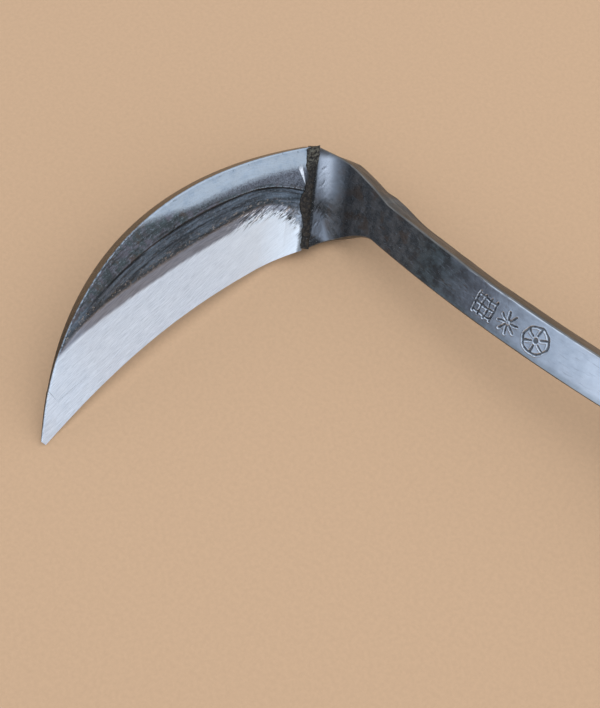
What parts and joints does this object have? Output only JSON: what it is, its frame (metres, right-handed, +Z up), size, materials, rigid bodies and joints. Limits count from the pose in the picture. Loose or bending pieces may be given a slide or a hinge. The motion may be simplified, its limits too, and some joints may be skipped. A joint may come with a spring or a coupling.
{
  "type": "hand sickle",
  "caption": "Short crescent weeding sickle: laminated single-bevel blade welded to a folded gooseneck flat bar, tang pinned in a round wooden handle behind a steel ferrule.",
  "frame": {"origin": "middle of the footprint, on the surface that the sickle lies on", "axes": "+Z up from that surface, +X along the handle towards its butt, blade at -X with its tip towards -Y; the sickle lies as it rests by itself, on tip, heel and butt"},
  "size_m": [0.3078, 0.1238, 0.0324],
  "materials": {
    "forged_bar": "hammered and oil-blacked flat bar, dark at the neck, worn bright towards the handle",
    "weld_metal": "rough, dark, sandy weld metal",
    "blade_iron": "forge scale and pitting on the face, satin ground bevel",
    "edge_steel": "satin, ground across in fine straight strokes",
    "handle_wood": "plain turned hardwood, lightly oiled",
    "ferrule_steel": "satin pressed sheet steel",
    "wedge_wood": "split hardwood"
  },
  "bodies": {
    "root": {"neck_bar": "forged_bar", "weld_face_run": "weld_metal", "weld_back_run": "weld_metal", "blade_iron": "blade_iron", "edge_steel": "edge_steel", "handle": "handle_wood", "ferrule": "ferrule_steel", "ferrule_pin": "ferrule_steel", "tang_wedge": "wedge_wood"}
  },
  "joints": []
}
